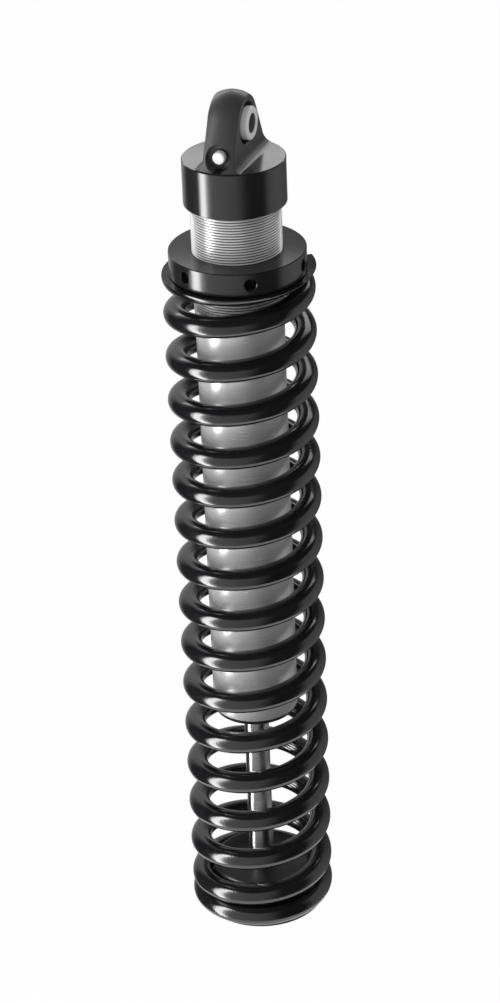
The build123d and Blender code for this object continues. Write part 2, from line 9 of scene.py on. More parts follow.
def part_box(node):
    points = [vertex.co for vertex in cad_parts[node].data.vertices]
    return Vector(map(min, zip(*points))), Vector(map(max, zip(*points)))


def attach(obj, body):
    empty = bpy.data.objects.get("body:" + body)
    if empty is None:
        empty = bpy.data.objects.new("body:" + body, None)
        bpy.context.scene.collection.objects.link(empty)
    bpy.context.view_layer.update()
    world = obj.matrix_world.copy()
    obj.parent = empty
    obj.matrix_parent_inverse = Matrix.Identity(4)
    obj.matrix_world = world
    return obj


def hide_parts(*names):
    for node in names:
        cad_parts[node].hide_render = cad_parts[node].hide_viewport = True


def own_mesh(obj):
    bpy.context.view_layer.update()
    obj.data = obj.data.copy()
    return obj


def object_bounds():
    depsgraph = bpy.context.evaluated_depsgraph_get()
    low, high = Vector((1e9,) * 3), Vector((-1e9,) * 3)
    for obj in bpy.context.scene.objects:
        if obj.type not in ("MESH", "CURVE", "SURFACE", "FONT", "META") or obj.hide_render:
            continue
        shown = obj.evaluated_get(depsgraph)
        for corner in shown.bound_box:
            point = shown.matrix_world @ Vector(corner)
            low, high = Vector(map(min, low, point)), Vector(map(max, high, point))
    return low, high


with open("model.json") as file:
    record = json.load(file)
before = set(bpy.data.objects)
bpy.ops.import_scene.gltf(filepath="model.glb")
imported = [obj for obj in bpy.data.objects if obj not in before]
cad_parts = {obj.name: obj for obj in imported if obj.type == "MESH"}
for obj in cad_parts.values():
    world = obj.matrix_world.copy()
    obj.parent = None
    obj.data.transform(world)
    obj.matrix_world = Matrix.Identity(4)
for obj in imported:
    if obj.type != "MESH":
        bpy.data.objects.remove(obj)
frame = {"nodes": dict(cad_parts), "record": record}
cadLow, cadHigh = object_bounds()
mm = 0.001
oneTurn = 2 * math.pi
print("frame loaded:", len(frame["nodes"]), "nodes")


# camera, and where it stands
shot = {
    "turn": 20.5,       # degrees round the damper, from its gas port towards +X
    "distance": 1.4437,
    "height": 0.5478,
    "pitch": 28.02,     # degrees it looks down
    "yaw": 0.052,
    "roll": -2.315,
    "lens": 107.53,
    "sensor": 36.0,
    "nearest": 0.05,
    "farthest": 30,
}


def turnAbout(axis, degrees):
    return Matrix.Rotation(math.radians(degrees), 4, axis)


def makeCamera():
    data = bpy.data.cameras.new("camera")
    data.lens = shot["lens"]
    data.sensor_width = shot["sensor"]
    data.clip_start = shot["nearest"]
    data.clip_end = shot["farthest"]
    camera = bpy.data.objects.new("camera", data)
    stand = turnAbout("Z", shot["turn"]) @ Matrix.Translation((0, -shot["distance"], shot["height"]))
    aim = turnAbout("Z", -shot["yaw"]) @ turnAbout("X", 90 - shot["pitch"])
    camera.matrix_world = stand @ aim @ turnAbout("Z", shot["roll"])
    bpy.context.scene.collection.objects.link(camera)
    bpy.context.scene.camera = camera


makeCamera()
bpy.context.scene.view_settings.view_transform = "Standard"
print("camera set")


# one node: settings are its own options, inputs are linked or filled by name or number
def addNode(tree, kind, inputs=None, **settings):
    made = tree.nodes.new(kind)
    for name, value in settings.items():
        setattr(made, name, value)
    for name, value in (inputs or {}).items():
        socket = made.inputs[name]
        if isinstance(value, bpy.types.NodeSocket):
            tree.links.new(value, socket)
        else:
            socket.default_value = value
    return made


def calc(tree, operation, first, second=0.0):
    return addNode(tree, "ShaderNodeMath", {0: first, 1: second}, operation=operation).outputs[0]


def newMaterial(name):
    material = bpy.data.materials.new(name)
    material.use_nodes = True
    return material, material.node_tree, material.node_tree.nodes["Principled BSDF"]


# for a turned piece: (radius, height) about the axis through centre, on which a pattern runs in
# rings, the plain coordinates, and the direction in which the rings run
def turnedCoords(tree, axis, centre):
    coords = addNode(tree, "ShaderNodeTexCoord").outputs["Object"]
    back = [-value for value in centre]
    centred = addNode(tree, "ShaderNodeMapping", {"Vector": coords, "Location": back},
                      vector_type="POINT").outputs[0]
    parts = addNode(tree, "ShaderNodeSeparateXYZ", {0: centred}).outputs
    across = [parts[name] for name in "XYZ" if name != axis]
    square = calc(tree, "ADD", calc(tree, "MULTIPLY", across[0], across[0]),
                  calc(tree, "MULTIPLY", across[1], across[1]))
    radius = calc(tree, "SQRT", square)
    rings = addNode(tree, "ShaderNodeCombineXYZ", {"X": radius, "Z": parts[axis]}).outputs[0]
    spindle = [float(name == axis) for name in "XYZ"]
    ringwise = addNode(tree, "ShaderNodeVectorMath", {0: centred, 1: spindle},
                       operation="CROSS_PRODUCT").outputs[0]
    return rings, coords, ringwise


def noise(tree, vector, scale, detail, roughness=0.5):
    made = addNode(tree, "ShaderNodeTexNoise", {"Vector": vector, "Scale": scale, "Detail": detail,
                                                "Roughness": roughness})
    return made.outputs["Fac"]


# spreads the middle of a noise, where nearly all of it lies, over low to high
def spread(tree, value, low, high, fromLow=0.3, fromHigh=0.7):
    return addNode(tree, "ShaderNodeMapRange", {"Value": value, "From Min": fromLow, "From Max": fromHigh,
                                                "To Min": low, "To Max": high}).outputs[0]


# a Mix node has its two colours at inputs 6 and 7, and the mixed one at output 2
def blend(tree, share, first, second):
    return addNode(tree, "ShaderNodeMix", {0: share, 6: first, 7: second}, data_type="RGBA").outputs[2]


def shade(tree, value, dark, light):
    return blend(tree, value, (*dark, 1), (*light, 1))


def bump(tree, height, distance, normal=None):
    made = addNode(tree, "ShaderNodeBump", {"Height": height, "Distance": distance})
    if normal is not None:
        tree.links.new(normal, made.inputs["Normal"])
    return made.outputs[0]


# what every turned metal has in common
turnedMix = {
    "lines": 0.6,                         # shares of lines and clouds in a finish
    "clouds": 0.4,
    "stretchTurn": 0.25,                  # a quarter turn: highlights stretch across the lines
    # painted shade: the colour that a thread root or a bore is darkened toward
    "recessColour": (0.02, 0.02, 0.02),
    "ior": 1.5,
}


# painted shade: a thread or a bore is painted darker toward its root, from its end on, for the shade that
# falls inside it
def paintRecessShade(tree, colour, rings, recess):
    parts = addNode(tree, "ShaderNodeSeparateXYZ", {0: rings}).outputs
    cut = calc(tree, "GREATER_THAN", parts["Z"], recess["end"])
    rootShade = spread(tree, parts["X"], recess["darkness"], 0.0, recess["root"], recess["crest"])
    return blend(tree, calc(tree, "MULTIPLY", rootShade, cut), colour, (*turnedMix["recessColour"], 1))


# blast-finished ends: the eye, above one height, and the seat, below another, are duller; the eye is also
# painted paler, which is painted light that brightens it
def blastEndsPaintEyeLight(tree, colour, roughness, rings, blastedAndPaintedLight):
    height = addNode(tree, "ShaderNodeSeparateXYZ", {0: rings}).outputs["Z"]
    eye = calc(tree, "GREATER_THAN", height, blastedAndPaintedLight["above"])
    seat = calc(tree, "LESS_THAN", height, blastedAndPaintedLight["below"])
    duller = calc(tree, "MULTIPLY", calc(tree, "ADD", eye, seat), blastedAndPaintedLight["roughness"])
    # painted light: the eye's colour is lifted toward a paler grey
    return blend(tree, eye, colour, (*blastedAndPaintedLight["colour"], 1)), calc(tree, "ADD", roughness, duller)


# a turned, ground or plated metal: fine lines round the axis, soft clouds over them
def turnedMetal(name, look, axis="Z", centre=(0, 0, 0)):
    material, tree, shader = newMaterial(name)
    rings, coords, ringwise = turnedCoords(tree, axis, centre)
    lines = noise(tree, rings, look["lines"], detail=3)
    clouds = noise(tree, coords, look["clouds"], detail=4)
    mixed = calc(tree, "ADD", calc(tree, "MULTIPLY", lines, turnedMix["lines"]),
                 calc(tree, "MULTIPLY", clouds, turnedMix["clouds"]))
    colour = shade(tree, spread(tree, mixed, 0, 1), look["dark"], look["light"])
    roughness = spread(tree, mixed, *look["roughness"])
    # duller blast-finished ends, and painted light on the eye
    if "blastedAndPaintedLight" in look:
        colour, roughness = blastEndsPaintEyeLight(tree, colour, roughness, rings, look["blastedAndPaintedLight"])
    # painted shade in thread roots and bores
    if "recess" in look:
        colour = paintRecessShade(tree, colour, rings, look["recess"])
    tree.links.new(colour, shader.inputs["Base Color"])
    tree.links.new(roughness, shader.inputs["Roughness"])
    tree.links.new(bump(tree, lines, look["depth"]), shader.inputs["Normal"])
    shader.inputs["Metallic"].default_value = look["metallic"]
    shader.inputs["IOR"].default_value = look.get("ior", turnedMix["ior"])
    if "drawn" in look:
        tangent = addNode(tree, "ShaderNodeVectorTransform", {0: ringwise}, vector_type="VECTOR",
                          convert_from="OBJECT", convert_to="WORLD").outputs[0]
        tree.links.new(tangent, shader.inputs["Tangent"])
        shader.inputs["Anisotropic"].default_value = look["drawn"]
        shader.inputs["Anisotropic Rotation"].default_value = turnedMix["stretchTurn"]
    return material


# lines and clouds are how fine the two patterns are, depth is the relief of the lines in metres and
# drawn is how far highlights stretch; a shaded thread or bore, painted darker toward its root as painted
# shade, has its radii in metres and the height it ends at
anodisedLook = {"dark": (0.009, 0.009, 0.010), "light": (0.015, 0.015, 0.016), "metallic": 0.0,
                "roughness": (0.15, 0.20), "lines": 5200, "depth": 0.0000008, "clouds": 160,
                "ior": 1.9, "drawn": 0.5,
                "blastedAndPaintedLight": {"above": -0.0185, "below": -0.4, "roughness": 0.24,
                            # the eye's colour is painted light, a paler grey that brightens it; the duller
                            # roughness is its blast finish
                            "colour": (0.045, 0.045, 0.047)}}
alloyLook = {"dark": (0.85, 0.85, 0.86), "light": (0.89, 0.89, 0.895), "metallic": 0.55,
             "roughness": (0.25, 0.28), "lines": 6500, "depth": 0.0000008, "clouds": 90, "drawn": 0.5,
             # painted shade in the thread's grooves, darker toward the root
             "recess": {"root": 0.0233, "crest": 0.0236, "end": -0.104, "darkness": 0.85}}
chromeLook = {"dark": (0.80, 0.80, 0.81), "light": (0.86, 0.86, 0.87), "metallic": 1.0,
              "roughness": (0.24, 0.28), "lines": 9000, "depth": 0.0000006, "clouds": 60, "drawn": 0.95}
zincLook = {"dark": (0.80, 0.80, 0.80), "light": (0.88, 0.88, 0.87), "metallic": 0.2,
            "roughness": (0.34, 0.46), "lines": 5200, "depth": 0.000005, "clouds": 700,
            # painted shade in the spacer's bore
            "recess": {"root": 0.0050, "crest": 0.0055, "darkness": 0.85,
                       "end": -1}}    # past the far end, so the painted shade darkens the bore all through
machinedLook = {"dark": (0.50, 0.51, 0.53), "light": (0.66, 0.67, 0.69), "metallic": 1.0,
                "roughness": (0.28, 0.40), "lines": 3600, "depth": 0.000008, "clouds": 200}
bearingLook = {"dark": (0.42, 0.42, 0.43), "light": (0.54, 0.54, 0.55), "metallic": 1.0,
               "roughness": (0.12, 0.20), "lines": 8000, "depth": 0.000001, "clouds": 300}
springSteelLook = {"dark": (0.20, 0.20, 0.21), "light": (0.30, 0.30, 0.31), "metallic": 1.0,
                   "roughness": (0.30, 0.42), "lines": 4200, "depth": 0.000004, "clouds": 500}
bronzeLook = {"dark": (0.40, 0.29, 0.15), "light": (0.56, 0.42, 0.24), "metallic": 1.0,
              "roughness": (0.36, 0.50), "lines": 4200, "depth": 0.000004, "clouds": 1600}


# thick gloss powder coat with its orange peel
coatLook = {"dark": (0.005, 0.005, 0.006), "light": (0.010, 0.010, 0.011), "roughness": (0.09, 0.16),
            "peel": 850, "peelDepth": 0.000034, "peelRoughness": 0.4, "grain": 2600,
            "grainDepth": 0.000002, "clouds": 45, "ior": 1.9}


def powderCoat(name, look):
    material, tree, shader = newMaterial(name)
    coords = addNode(tree, "ShaderNodeTexCoord").outputs["Object"]
    clouds = noise(tree, coords, look["clouds"], detail=3)
    peel = noise(tree, coords, look["peel"], detail=1, roughness=look["peelRoughness"])
    grain = noise(tree, coords, look["grain"], detail=2)
    tree.links.new(shade(tree, spread(tree, clouds, 0, 1), look["dark"], look["light"]),
                   shader.inputs["Base Color"])
    tree.links.new(spread(tree, clouds, *look["roughness"]), shader.inputs["Roughness"])
    waves = bump(tree, peel, look["peelDepth"])
    tree.links.new(bump(tree, grain, look["grainDepth"], normal=waves), shader.inputs["Normal"])
    shader.inputs["IOR"].default_value = look["ior"]
    return material


# rubber, bearing plastic and filled bands: matt, with a moulded grain
def moulded(name, look):
    material, tree, shader = newMaterial(name)
    coords = addNode(tree, "ShaderNodeTexCoord").outputs["Object"]
    grain = noise(tree, coords, look["grain"], detail=3)
    tree.links.new(shade(tree, spread(tree, grain, 0, 1), look["dark"], look["light"]),
                   shader.inputs["Base Color"])
    tree.links.new(spread(tree, grain, *look["roughness"]), shader.inputs["Roughness"])
    tree.links.new(bump(tree, grain, look["depth"]), shader.inputs["Normal"])
    return material


nitrileLook = {"dark": (0.012, 0.012, 0.012), "light": (0.026, 0.026, 0.026),
               "roughness": (0.42, 0.60), "grain": 1800, "depth": 0.00001}
elastomerLook = {"dark": (0.07, 0.07, 0.07), "light": (0.11, 0.11, 0.11),
                 "roughness": (0.55, 0.72), "grain": 1200, "depth": 0.00002}
bandLook = {"dark": (0.13, 0.12, 0.105), "light": (0.18, 0.17, 0.15),
            "roughness": (0.45, 0.60), "grain": 3000, "depth": 0.000006}
acetalLook = {"dark": (0.014, 0.014, 0.015), "light": (0.024, 0.024, 0.025),
              "roughness": (0.26, 0.38), "grain": 1400, "depth": 0.000006}

finishes = {
    "black_anodised": turnedMetal("blackAnodised", anodisedLook),
    "bright_alloy": turnedMetal("brightAlloy", alloyLook),
    "machined_alloy": turnedMetal("machinedAlloy", machinedLook),
    "gloss_black_paint": powderCoat("glossPowderCoat", coatLook),
    "hard_chrome": turnedMetal("hardChrome", chromeLook),
    "zinc_steel": turnedMetal("zincSteel", zincLook, "X"),
    "bearing_steel": turnedMetal("bearingSteel", bearingLook, "X"),
    "spring_steel": turnedMetal("springSteel", springSteelLook),
    "sintered_bronze": turnedMetal("sinteredBronze", bronzeLook),
    "nitrile": moulded("nitrile", nitrileLook),
    "elastomer": moulded("elastomer", elastomerLook),
    "ptfe_band": moulded("ptfeBand", bandLook),
    "acetal": moulded("acetal", acetalLook),
}
finishOf = {part["node"]: part["material_slot"] for part in frame["record"]["subparts"]}

# the zinc of the lower spacers is turned about the lower eye
lowerEye = next(mount for mount in frame["record"]["mounts"] if mount["name"] == "lower_eye")["pos_m"]
lowerZinc = turnedMetal("zincSteelLower", zincLook, "X", lowerEye)

for name, node in frame["nodes"].items():
    material = lowerZinc if name == "lower_spacers" else finishes[finishOf[name]]
    node.data.materials.clear()
    node.data.materials.append(material)
print("finishes made:", len(finishes))


# the plain mesh that a geometry tree makes with these values in its inputs
def runTree(tree, name, values):
    holder = bpy.data.objects.new(name + "Maker", bpy.data.meshes.new(name + "Maker"))
    bpy.context.scene.collection.objects.link(holder)
    modifier = holder.modifiers.new("maker", "NODES")
    modifier.node_group = tree
    for item in tree.interface.items_tree:
        if item.item_type == "SOCKET" and item.in_out == "INPUT" and item.name in values:
            modifier[item.identifier] = values[item.name]
    graph = bpy.context.evaluated_depsgraph_get()
    mesh = bpy.data.meshes.new_from_object(holder.evaluated_get(graph), depsgraph=graph)
    holder.modifiers.remove(modifier)
    bpy.data.objects.remove(holder)
    return mesh


# a geometry tree with one named input for each size
def newTree(name, sizes):
    tree = bpy.data.node_groups.new(name, "GeometryNodeTree")
    for label, value in sizes.items():
        kind = "NodeSocketInt" if isinstance(value, int) else "NodeSocketFloat"
        tree.interface.new_socket(label, in_out="INPUT", socket_type=kind).default_value = value
    tree.interface.new_socket("Material", in_out="INPUT", socket_type="NodeSocketMaterial")
    tree.interface.new_socket("Geometry", in_out="OUTPUT", socket_type="NodeSocketGeometry")
    return tree, tree.nodes.new("NodeGroupInput").outputs


def endTree(tree, geometry, material):
    real = addNode(tree, "GeometryNodeRealizeInstances", {0: geometry})
    painted = addNode(tree, "GeometryNodeSetMaterial",
                      {"Geometry": real.outputs[0], "Material": material})
    tree.links.new(painted.outputs[0], tree.nodes.new("NodeGroupOutput").inputs[0])


# gives a mesh its finish, the CAD nodes it stands for and the body it rides on
def makePiece(name, mesh, body, slot, *nodes):
    mesh.name = name
    mesh.materials.clear()
    mesh.materials.append(finishes[slot])
    mesh.polygons.foreach_set("material_index", [0] * len(mesh.polygons))
    piece = bpy.data.objects.new(name, mesh)
    bpy.context.scene.collection.objects.link(piece)
    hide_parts(*nodes)
    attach(piece, body)
    return piece


# coil spring: the tree's sizes first, then what is done to the finished wire
springLow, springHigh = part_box("coil_spring")
coilSpring = {
    "tree": {
        "Mean Radius": 34.5 * mm,
        "Wire Radius": 6.0 * mm,
        "Turns": 16.62,
        "End Lead": 4.0 * mm,       # rise per turn at the closed tips
        "Top Ramp": 1.3,            # turns over which an end opens to the full pitch
        "Bottom Ramp": 1.66,
        "Tip Angle": math.radians(45.5),
        "Tip Flare": 3.8 * mm,      # the sheared top tip springs outwards
        "Flare Turns": 0.15,
        "Flare Curve": 1.5,
        "Tip Slimming": 0.44,       # and its corners are rounded off
        "Slim Turns": 0.012,
        "Slim Curve": 2.0,
        "Middle Rise": 3.3 * mm,    # the middle coils stand a little above an even pitch
        "Rise Start": 4.0,
        "Rise End": 6.0,
        "Fall Start": 8.5,
        "Fall End": 14.0,
        "Points Per Turn": 128,
        "Wire Sides": 36,
    },
    "topTipLeft": 2.4 * mm,         # thickness of the wire that the grinding leaves at a tip
    "bottomTipLeft": 8.1 * mm,
    "groundEdge": 0.35 * mm,
    "edgeSteps": 2,
    "edgeAngle": math.radians(35),  # only edges sharper than this are broken
    "cutTolerance": 0.0001 * mm,
    "travelLeft": 0.745,            # length at full stroke over the length at rest
}


def eased(tree, value, start, end):
    return addNode(tree, "ShaderNodeMapRange", {"Value": value, "From Min": start, "From Max": end},
                   interpolation_type="SMOOTHSTEP").outputs[0]


# 1 at the very tip, down to 0 so many turns into the wire
def tipShare(tree, turn, length):
    return calc(tree, "MAXIMUM", 0.0,
                calc(tree, "SUBTRACT", 1.0, calc(tree, "DIVIDE", turn, length)))


# how far the lead of a closed end falls short of the full pitch, summed over the turns
def leadShortfall(tree, turns, ramp):
    inside = calc(tree, "MINIMUM", turns, ramp)
    curved = calc(tree, "DIVIDE", calc(tree, "MULTIPLY", inside, inside),
                  calc(tree, "MULTIPLY", ramp, 2.0))
    return calc(tree, "SUBTRACT", inside, curved)


# wire from the top tip down to the bottom one, as a line bent into a coil
def springTree(sizes):
    tree, given = newTree("coilSpringTree", sizes)
    along = addNode(tree, "GeometryNodeSplineParameter").outputs["Factor"]
    turn = calc(tree, "MULTIPLY", along, given["Turns"])
    left = calc(tree, "SUBTRACT", given["Turns"], turn)
    topShort = leadShortfall(tree, turn, given["Top Ramp"])
    # a whole ramp falls short by half its turns, less here what still lies ahead
    bottomShort = calc(tree, "SUBTRACT", calc(tree, "MULTIPLY", given["Bottom Ramp"], 0.5),
                       leadShortfall(tree, left, given["Bottom Ramp"]))
    slack = calc(tree, "MULTIPLY", calc(tree, "ADD", topShort, bottomShort),
                 calc(tree, "SUBTRACT", given["Pitch"], given["End Lead"]))
    drop = calc(tree, "SUBTRACT", calc(tree, "MULTIPLY", turn, given["Pitch"]), slack)
    settled = calc(tree, "SUBTRACT", 1.0, eased(tree, turn, given["Fall Start"], given["Fall End"]))
    lifted = eased(tree, turn, given["Rise Start"], given["Rise End"])
    rise = calc(tree, "MULTIPLY", given["Middle Rise"], calc(tree, "MULTIPLY", settled, lifted))
    height = calc(tree, "SUBTRACT", calc(tree, "ADD", given["Top Height"], rise), drop)
    flare = calc(tree, "POWER", tipShare(tree, turn, given["Flare Turns"]), given["Flare Curve"])
    radius = calc(tree, "ADD", given["Mean Radius"], calc(tree, "MULTIPLY", flare, given["Tip Flare"]))
    angle = calc(tree, "SUBTRACT", given["Tip Angle"], calc(tree, "MULTIPLY", turn, oneTurn))
    place = addNode(tree, "ShaderNodeCombineXYZ", {
        "X": calc(tree, "MULTIPLY", radius, calc(tree, "COSINE", angle)),
        "Y": calc(tree, "MULTIPLY", radius, calc(tree, "SINE", angle)),
        "Z": height}).outputs[0]
    slim = calc(tree, "POWER", tipShare(tree, turn, given["Slim Turns"]), given["Slim Curve"])
    worn = calc(tree, "MULTIPLY", slim, given["Tip Slimming"])
    girth = calc(tree, "SQRT", calc(tree, "SUBTRACT", 1.0, worn))
    count = calc(tree, "MULTIPLY", given["Turns"], given["Points Per Turn"])
    line = addNode(tree, "GeometryNodeCurvePrimitiveLine").outputs[0]
    points = addNode(tree, "GeometryNodeResampleCurve", {"Curve": line, "Count": count}, mode="COUNT")
    wire = addNode(tree, "GeometryNodeSetPosition", {"Geometry": points.outputs[0], "Position": place})
    slimmed = addNode(tree, "GeometryNodeSetCurveRadius", {"Curve": wire.outputs[0], "Radius": girth})
    level = addNode(tree, "GeometryNodeSetCurveNormal", {"Curve": slimmed.outputs[0]}, mode="Z_UP")
    section = addNode(tree, "GeometryNodeCurvePrimitiveCircle",
                      {"Resolution": given["Wire Sides"], "Radius": given["Wire Radius"]}, mode="RADIUS")
    solid = addNode(tree, "GeometryNodeCurveToMesh",
                    {"Curve": level.outputs[0], "Profile Curve": section.outputs[0], "Fill Caps": True})
    smooth = addNode(tree, "GeometryNodeSetShadeSmooth", {"Geometry": solid.outputs[0]})
    endTree(tree, smooth.outputs[0], given["Material"])
    return tree


# cuts a wire end on its seat plane, closes the flat and breaks its edge
def grindFlat(bm, height, side):
    everything = bm.verts[:] + bm.edges[:] + bm.faces[:]
    cut = bmesh.ops.bisect_plane(bm, geom=everything, dist=coilSpring["cutTolerance"],
                                 plane_co=(0, 0, height), plane_no=(0, 0, side), clear_outer=True)
    rim = [e for e in cut["geom_cut"] if isinstance(e, bmesh.types.BMEdge)]
    flats = bmesh.ops.holes_fill(bm, edges=rim, sides=0)["faces"]
    for face in flats:
        face.smooth = False
    sharp = [e for e in rim if e.is_valid and len(e.link_faces) == 2
             and e.calc_face_angle(0) > coilSpring["edgeAngle"]]
    bmesh.ops.bevel(bm, geom=sharp, offset=coilSpring["groundEdge"], segments=coilSpring["edgeSteps"],
                    profile=0.5, affect="EDGES", clamp_overlap=True)


def makeSpring():
    sizes = coilSpring["tree"]
    wire = sizes["Wire Radius"]
    topCut = wire - coilSpring["topTipLeft"]     # how far the wire's middle lies past each seat
    bottomCut = wire - coilSpring["bottomTipLeft"]
    drop = (springHigh.z - springLow.z) + topCut + bottomCut
    ramps = (sizes["Top Ramp"] + sizes["Bottom Ramp"]) / 2
    pitch = (drop - sizes["End Lead"] * ramps) / (sizes["Turns"] - ramps)
    values = {**sizes, "Pitch": pitch, "Top Height": springHigh.z + topCut}
    tree = springTree(values)
    mesh = runTree(tree, "coilSpring", {**values, "Material": finishes["gloss_black_paint"]})
    bm = bmesh.new()
    bm.from_mesh(mesh)
    grindFlat(bm, springHigh.z, 1)
    grindFlat(bm, springLow.z, -1)
    bmesh.ops.recalc_face_normals(bm, faces=bm.faces)
    bm.to_mesh(mesh)
    bm.free()
    spring = makePiece("coilSpring", mesh, "damper", "gloss_black_paint", "coil_spring")
    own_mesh(spring)
    print("spring made:", len(mesh.polygons), "faces, pitch", round(pitch / mm, 2), "mm")


makeSpring()


# threaded body tube: the tree's sizes make the thread, the others the plain wall and the bore
tubeLow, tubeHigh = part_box("body_tube")
bodyTube = {
    "tree": {
        "Crest Radius": tubeHigh.x,
        "Smooth Radius": 23.65 * mm,
        "Depth": 0.86 * mm,
        "Pitch": 1.5 * mm,
        "Thread End": tubeHigh.z - 76.3 * mm,
        "Thread Top": tubeHigh.z,
        "Top Chamfer": 0.9 * mm,
        "Root Edge": 0.06,          # pitches from a groove's middle to the foot and top of its flank
        "Crest Edge": 0.40,
        "Run Out": 1.3,             # pitches over which the thread dies away at its end
        "Threads": 53,              # enough to reach past the top all the way round
        "Rows Per Thread": 8,
        "Columns": 144,
    },
    "bore": 20.0 * mm,
    "clipGroove": 20.9 * mm,        # radius of the groove for the wire clip, and where it starts
    "clipLow": 3.8 * mm,
    "clipWire": 1.6 * mm,
    "edge": 0.3 * mm,
    "sharpAngle": math.radians(40),
    "weldGap": 0.002 * mm,
}


def threadTree():
    tree, given = newTree("bodyThreadTree", bodyTube["tree"])
    rows = calc(tree, "ADD", calc(tree, "MULTIPLY", given["Threads"], given["Rows Per Thread"]), 1.0)
    columns = calc(tree, "ADD", given["Columns"], 1.0)
    # a flat grid one unit square, its middle at zero: once round in X, every thread in Y
    grid = addNode(tree, "GeometryNodeMeshGrid", {"Size X": 1.0, "Size Y": 1.0, "Vertices X": columns,
                                                  "Vertices Y": rows}).outputs["Mesh"]
    here = addNode(tree, "ShaderNodeSeparateXYZ",
                   {0: addNode(tree, "GeometryNodeInputPosition").outputs[0]}).outputs
    around = calc(tree, "ADD", here["X"], 0.5)
    upward = calc(tree, "MULTIPLY", calc(tree, "ADD", here["Y"], 0.5), given["Threads"])
    rise = calc(tree, "MULTIPLY", given["Pitch"],
                calc(tree, "SUBTRACT", calc(tree, "ADD", upward, around), 1.0))
    foot = calc(tree, "SUBTRACT", given["Thread End"], given["Pitch"])
    free = calc(tree, "ADD", foot, rise)
    height = calc(tree, "MAXIMUM", foot, calc(tree, "MINIMUM", free, given["Thread Top"]))
    # groove: a rounded V, its middle at half a pitch
    away = calc(tree, "ABSOLUTE", calc(tree, "SUBTRACT", calc(tree, "FRACT", upward), 0.5))
    groove = addNode(tree, "ShaderNodeMapRange",
                     {"Value": away, "From Min": given["Root Edge"], "From Max": given["Crest Edge"],
                      "To Min": 1.0, "To Max": 0.0}, interpolation_type="SMOOTHSTEP").outputs[0]
    fade = addNode(tree, "ShaderNodeMapRange",
                   {"Value": calc(tree, "SUBTRACT", height, given["Thread End"]), "From Min": 0.0,
                    "From Max": calc(tree, "MULTIPLY", given["Pitch"], given["Run Out"])}).outputs[0]
    cut = calc(tree, "MULTIPLY", calc(tree, "MULTIPLY", groove, fade), given["Depth"])
    step = calc(tree, "SUBTRACT", given["Crest Radius"], given["Smooth Radius"])
    below = calc(tree, "MINIMUM", step,
                 calc(tree, "MAXIMUM", 0.0, calc(tree, "SUBTRACT", given["Thread End"], height)))
    above = calc(tree, "MAXIMUM", 0.0, calc(tree, "SUBTRACT", given["Top Chamfer"],
                                            calc(tree, "SUBTRACT", given["Thread Top"], height)))
    outer = calc(tree, "SUBTRACT", calc(tree, "SUBTRACT", given["Crest Radius"], below),
                 calc(tree, "MAXIMUM", cut, above))
    angle = calc(tree, "MULTIPLY", around, oneTurn)
    place = addNode(tree, "ShaderNodeCombineXYZ", {
        "X": calc(tree, "MULTIPLY", outer, calc(tree, "COSINE", angle)),
        "Y": calc(tree, "MULTIPLY", outer, calc(tree, "SINE", angle)),
        "Z": height}).outputs[0]
    wrapped = addNode(tree, "GeometryNodeSetPosition", {"Geometry": grid, "Position": place})
    welded = addNode(tree, "GeometryNodeMergeByDistance",
                     {"Geometry": wrapped.outputs[0], "Distance": bodyTube["weldGap"]})
    smooth = addNode(tree, "GeometryNodeSetShadeSmooth", {"Geometry": welded.outputs[0]})
    endTree(tree, smooth.outputs[0], given["Material"])
    return tree


# rows of points round Z, joined up in order; the outline is (radius, height) pairs
def spinOutline(bm, outline, sides):
    rings = []
    for radius, height in outline:
        ring = []
        for i in range(sides):
            angle = oneTurn * i / sides
            ring.append(bm.verts.new((radius * math.cos(angle), radius * math.sin(angle), height)))
        rings.append(ring)
    for first, second in zip(rings, rings[1:]):
        for i in range(sides):
            j = (i + 1) % sides
            bm.faces.new((first[i], first[j], second[j], second[i]))


def makeTube():
    sizes = bodyTube["tree"]
    mesh = runTree(threadTree(), "bodyTube", {**sizes, "Material": finishes["bright_alloy"]})
    bm = bmesh.new()
    bm.from_mesh(mesh)
    smooth = sizes["Smooth Radius"]
    foot = sizes["Thread End"] - sizes["Pitch"]
    edge = bodyTube["edge"]
    bore = bodyTube["bore"]
    groove = bodyTube["clipGroove"]
    clipFoot = tubeLow.z + bodyTube["clipLow"]
    clipHead = clipFoot + bodyTube["clipWire"]
    mouth = sizes["Crest Radius"] - sizes["Top Chamfer"]
    outline = [(smooth, foot), (smooth, tubeLow.z + edge), (smooth - edge, tubeLow.z),
               (bore, tubeLow.z), (bore, clipFoot), (groove, clipFoot), (groove, clipHead),
               (bore, clipHead), (bore, tubeHigh.z), (mouth, tubeHigh.z)]
    spinOutline(bm, outline, sizes["Columns"])
    bmesh.ops.remove_doubles(bm, verts=bm.verts, dist=bodyTube["weldGap"])
    bmesh.ops.recalc_face_normals(bm, faces=bm.faces)
    for face in bm.faces:
        face.smooth = True
    for line in bm.edges:
        line.smooth = line.calc_face_angle(0) < bodyTube["sharpAngle"]
    bm.to_mesh(mesh)
    bm.free()
    makePiece("bodyTube", mesh, "damper", "bright_alloy", "body_tube")
    print("tube made:", len(mesh.polygons), "faces")


makeTube()


# studio: a pale floor and room, one lamp, and what metal and paint mirror
studio = {
    "floorDrop": 0.4,        # floor below the lowest point of the shock
    "floorSize": 14.0,
    "floorGlow": 0.97,       # share of plain white in what the camera sees of the floor
    "floorColour": 0.9,
    "floorRoughness": 0.9,
    "roomLight": 0.65,       # what the room sheds on things; seen or mirrored it is plain white
}
lamp = {"side": -71, "distance": 0.75, "height": -0.3, "width": 0.30, "tall": 1.20, "watts": 9}
